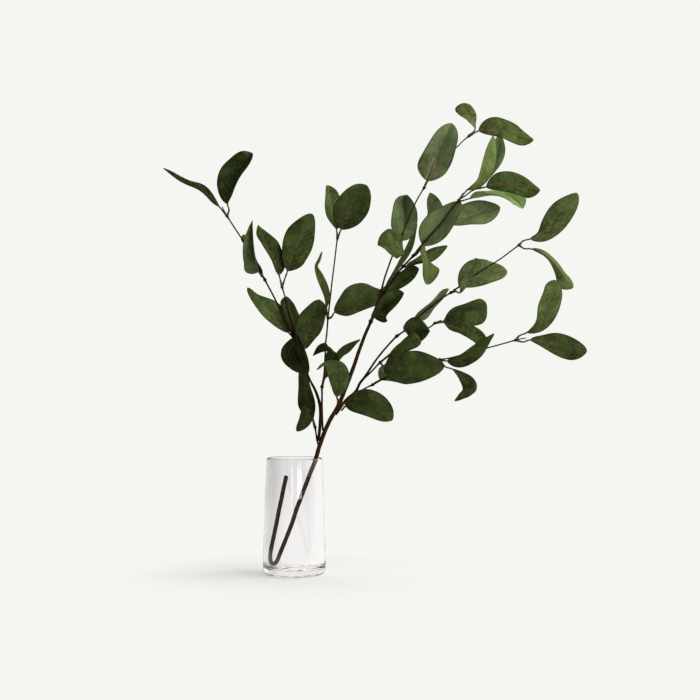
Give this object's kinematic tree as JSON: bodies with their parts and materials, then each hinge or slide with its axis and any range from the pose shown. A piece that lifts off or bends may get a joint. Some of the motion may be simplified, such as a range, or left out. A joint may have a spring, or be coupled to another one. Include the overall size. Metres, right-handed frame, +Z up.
{
  "type": "artificial eucalyptus branch in a glass vase",
  "caption": "Artificial eucalyptus branch with rounded cloth leaves in pairs on forked covered-wire stems, its bent-back foot standing in a clear, slightly tapered glass vase.",
  "frame": {"origin": "middle of the flat foot of the glass vase, on the surface it stands on", "axes": "+Z up along the vase's axis, +X to the right and -Y towards the viewer, in the branch's widest direction as seen from the front"},
  "size_m": [0.5365, 0.1809, 0.6013],
  "materials": {
    "vase_glass": "clear, smooth and polished, with a thick base",
    "stem_cover": "dark brown moulded cover over wire, dull with a faint sheen",
    "leaf_cloth": "printed green cloth with a reddish brown midrib, paler on the underside; stalks of brown olive plastic"
  },
  "bodies": {
    "root": {"vase": "vase_glass", "main_stem": "stem_cover", "centre_spray_stem": "stem_cover", "left_spray_stem": "stem_cover", "upright_spray_stem": "stem_cover", "left_twig_stem": "stem_cover", "right_spray_stem": "stem_cover", "lower_right_spray_stem": "stem_cover", "left_leaf_01": "leaf_cloth", "left_leaf_02": "leaf_cloth", "left_leaf_03": "leaf_cloth", "left_leaf_04": "leaf_cloth", "left_leaf_05": "leaf_cloth", "left_leaf_06": "leaf_cloth", "left_leaf_07": "leaf_cloth", "left_leaf_08": "leaf_cloth", "left_leaf_09": "leaf_cloth", "left_leaf_10": "leaf_cloth", "twig_leaf_01": "leaf_cloth", "twig_leaf_02": "leaf_cloth", "upright_leaf_01": "leaf_cloth", "upright_leaf_02": "leaf_cloth", "upright_leaf_03": "leaf_cloth", "upright_leaf_04": "leaf_cloth", "upright_leaf_05": "leaf_cloth", "upright_leaf_06": "leaf_cloth", "main_leaf_01": "leaf_cloth", "main_leaf_02": "leaf_cloth", "main_leaf_03": "leaf_cloth", "main_leaf_04": "leaf_cloth", "main_leaf_05": "leaf_cloth", "main_leaf_06": "leaf_cloth", "main_leaf_07": "leaf_cloth", "main_leaf_08": "leaf_cloth", "main_leaf_09": "leaf_cloth", "main_leaf_10": "leaf_cloth", "centre_leaf_01": "leaf_cloth", "centre_leaf_02": "leaf_cloth", "centre_leaf_03": "leaf_cloth", "centre_leaf_04": "leaf_cloth", "centre_leaf_05": "leaf_cloth", "centre_leaf_06": "leaf_cloth", "centre_leaf_07": "leaf_cloth", "centre_leaf_08": "leaf_cloth", "centre_leaf_09": "leaf_cloth", "right_leaf_01": "leaf_cloth", "right_leaf_02": "leaf_cloth", "right_leaf_03": "leaf_cloth", "right_leaf_04": "leaf_cloth", "right_leaf_05": "leaf_cloth", "right_leaf_06": "leaf_cloth", "right_leaf_07": "leaf_cloth", "right_leaf_08": "leaf_cloth", "right_leaf_09": "leaf_cloth", "right_leaf_10": "leaf_cloth", "lower_leaf_01": "leaf_cloth", "lower_leaf_02": "leaf_cloth", "lower_leaf_03": "leaf_cloth", "lower_leaf_04": "leaf_cloth", "lower_leaf_05": "leaf_cloth"}
  },
  "joints": []
}
